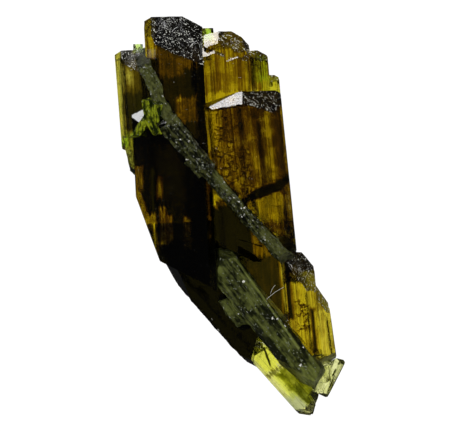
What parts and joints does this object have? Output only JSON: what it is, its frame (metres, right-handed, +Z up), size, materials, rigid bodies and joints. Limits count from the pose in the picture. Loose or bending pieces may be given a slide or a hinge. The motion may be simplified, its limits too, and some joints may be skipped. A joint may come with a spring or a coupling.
{
  "type": "epidote crystal cluster",
  "caption": "Cluster of long flat-faced epidote crystals, amber, olive and black, lying on its back with a pointed lower end; a mineral specimen for display.",
  "frame": {"origin": "under the middle of the cluster, on the surface that it lies on", "axes": "+X to the right of the pictured side, +Y along the long crystals to their heads, +Z up from the surface towards the pictured side"},
  "size_m": [0.023, 0.04, 0.0107],
  "materials": {
    "amber_crystal": "clear amber crystal with lengthwise striations and inner cracks",
    "brown_crystal": "dark brown crystal, striated, with a rough grey head",
    "olive_crystal": "olive to yellow green crystal, striated",
    "black_crystal": "nearly opaque black green crystal, bright on its flat faces",
    "frosted_crystal": "frosted grey green crystal with pale specks",
    "green_crystal": "clear yellow green crystal",
    "pale_crystal": "pale clear crystal chips"
  },
  "bodies": {
    "root": {"tall_prism": "brown_crystal", "left_prism": "olive_crystal", "right_prisms": "amber_crystal", "amber_prism": "amber_crystal", "black_prism": "black_crystal", "cross_blade": "frosted_crystal", "green_splinters": "green_crystal", "dark_root": "black_crystal", "frosted_blade": "frosted_crystal", "lower_amber": "amber_crystal", "tip_crystals": "green_crystal", "pale_chips": "pale_crystal"}
  },
  "joints": []
}
